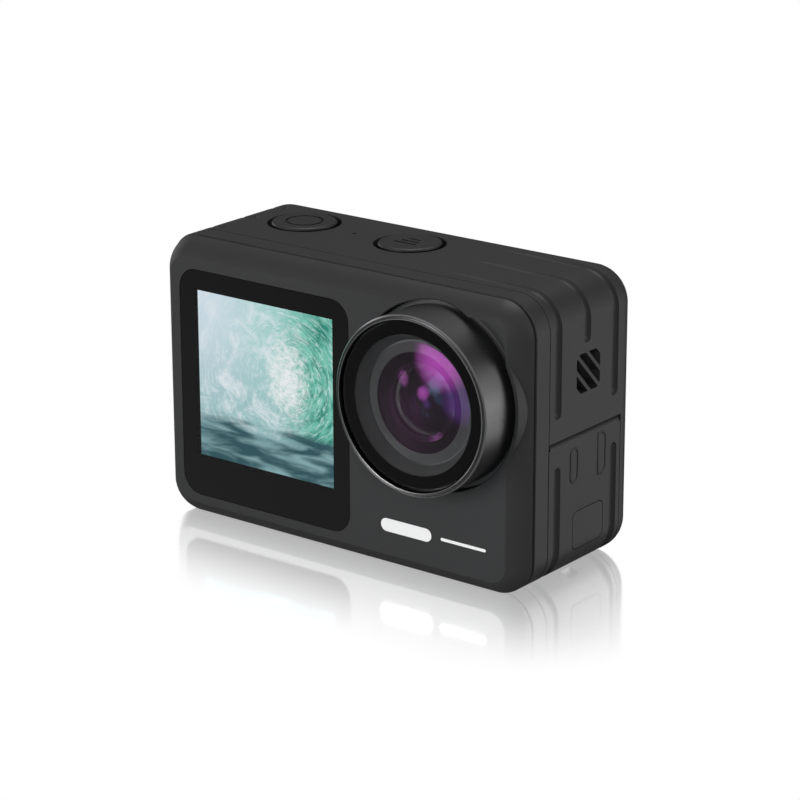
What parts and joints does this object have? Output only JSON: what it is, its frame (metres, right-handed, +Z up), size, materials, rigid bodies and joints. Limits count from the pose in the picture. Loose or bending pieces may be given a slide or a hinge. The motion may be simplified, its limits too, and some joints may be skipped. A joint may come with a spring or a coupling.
{
  "type": "action camera",
  "caption": "Pocket action camera with front and rear displays, a round lens in a turned bezel, top push buttons, a sealed port door and a battery door.",
  "frame": {"origin": "middle of the box's bottom face", "axes": "+Z up, the lens looks along -Y, +X to the right when the front is seen"},
  "size_m": [0.064, 0.0326, 0.0417],
  "materials": {
    "housing_black": "fine soft-touch texture",
    "button_black": "satin moulded caps",
    "bezel_black": "turned aluminium, satin black anodised",
    "screen_glass": "coated cover glass",
    "lens_glass": "multi-coated optical glass",
    "black_print": "black printed mask",
    "seal_rubber": "moulded silicone",
    "adhesive": "die-cut foam adhesive",
    "display": "display module",
    "flex_circuit": "polyimide flexible circuit",
    "lens_parts": "black glass-filled plastic",
    "circuit_board": "solder-masked circuit board",
    "chip": "epoxy package",
    "steel": "bright pressed steel",
    "spreader_alloy": "die-cast aluminium",
    "nut_brass": "plated insert",
    "battery_pack": "lithium pouch in a wrapped can",
    "card_plastic": "moulded memory card",
    "pull_tab": "woven tape"
  },
  "bodies": {
    "camera_body": {"battery": "battery_pack", "battery_bay": "lens_parts", "battery_contacts": "steel", "battery_door_hinge_pin": "steel", "battery_pull_tab": "pull_tab", "board_screws": "steel", "button_return_springs": "seal_rubber", "card_socket": "steel", "cover_gasket": "seal_rubber", "front_cover": "housing_black", "front_display": "display", "front_display_flex": "flex_circuit", "front_screen_adhesive": "adhesive", "front_screen_glass": "screen_glass", "heat_spreader": "spreader_alloy", "image_processor": "chip", "image_sensor": "chip", "infrared_filter": "lens_glass", "key_board": "circuit_board", "lens_baffle": "lens_parts", "lens_barrel": "lens_parts", "lens_front_element": "lens_glass", "lens_holder": "lens_parts", "lens_rear_element": "lens_glass", "lens_seal_ring": "seal_rubber", "lens_second_element": "lens_glass", "main_board": "circuit_board", "main_housing": "housing_black", "memory_card": "card_plastic", "memory_chip": "chip", "mic_membrane": "adhesive", "microphone": "chip", "port_door_hinge_pin": "steel", "rear_display": "display", "rear_display_flex": "flex_circuit", "rear_screen_adhesive": "adhesive", "rear_touch_glass": "screen_glass", "sensor_board": "circuit_board", "sensor_screws": "steel", "shield_can": "steel", "speaker": "lens_parts", "speaker_mesh": "steel", "tact_switches": "steel", "thermal_pad": "adhesive", "tripod_nut": "nut_brass", "usb_socket": "steel", "video_socket": "steel"},
    "lens_bezel_body": {"lens_bezel": "bezel_black", "lens_trim_ring": "bezel_black", "lens_cover_glass": "lens_glass", "lens_glass_mask": "black_print", "lens_glass_gasket": "seal_rubber"},
    "shutter_body": {"shutter_button": "button_black"},
    "mode_body": {"mode_button": "button_black"},
    "port_door_body": {"port_door": "housing_black", "port_door_seal": "seal_rubber"},
    "port_release_body": {"port_door_release": "housing_black"},
    "battery_door_body": {"battery_door": "housing_black", "battery_door_seal": "seal_rubber"},
    "battery_latch_body": {"battery_door_latch": "housing_black"}
  },
  "joints": [
    {"name": "shutter_press", "type": "slide", "parent": "camera_body", "child": "shutter_body", "axis": [0, 0, -1], "range_m": [0, 0.0004], "stiffness_N_per_m": 2000, "springref_m": -0.0004},
    {"name": "mode_press", "type": "slide", "parent": "camera_body", "child": "mode_body", "axis": [0, 0, -1], "range_m": [0, 0.0004], "stiffness_N_per_m": 2000, "springref_m": -0.0004},
    {"name": "lens_bezel_twist", "type": "hinge", "parent": "camera_body", "child": "lens_bezel_body", "pos_m": [0.0175, -0.0105, 0.02656], "axis": [0, 1, 0], "range_deg": [0, 45]},
    {"name": "port_door_swing", "type": "hinge", "parent": "camera_body", "child": "port_door_body", "pos_m": [0.0312, 0.0044, 0.01995], "axis": [0, -1, 0], "range_deg": [0, 88]},
    {"name": "port_release_press", "type": "slide", "parent": "port_door_body", "child": "port_release_body", "axis": [-1, 0, 0], "range_m": [0, 0.0004], "stiffness_N_per_m": 1200, "springref_m": -0.0004},
    {"name": "battery_door_swing", "type": "hinge", "parent": "camera_body", "child": "battery_door_body", "pos_m": [-0.0263, 0.0006, 0.0009], "axis": [0, 1, 0], "range_deg": [0, 90]},
    {"name": "battery_latch_slide", "type": "slide", "parent": "battery_door_body", "child": "battery_latch_body", "axis": [1, 0, 0], "range_m": [0, 0.0015]}
  ]
}
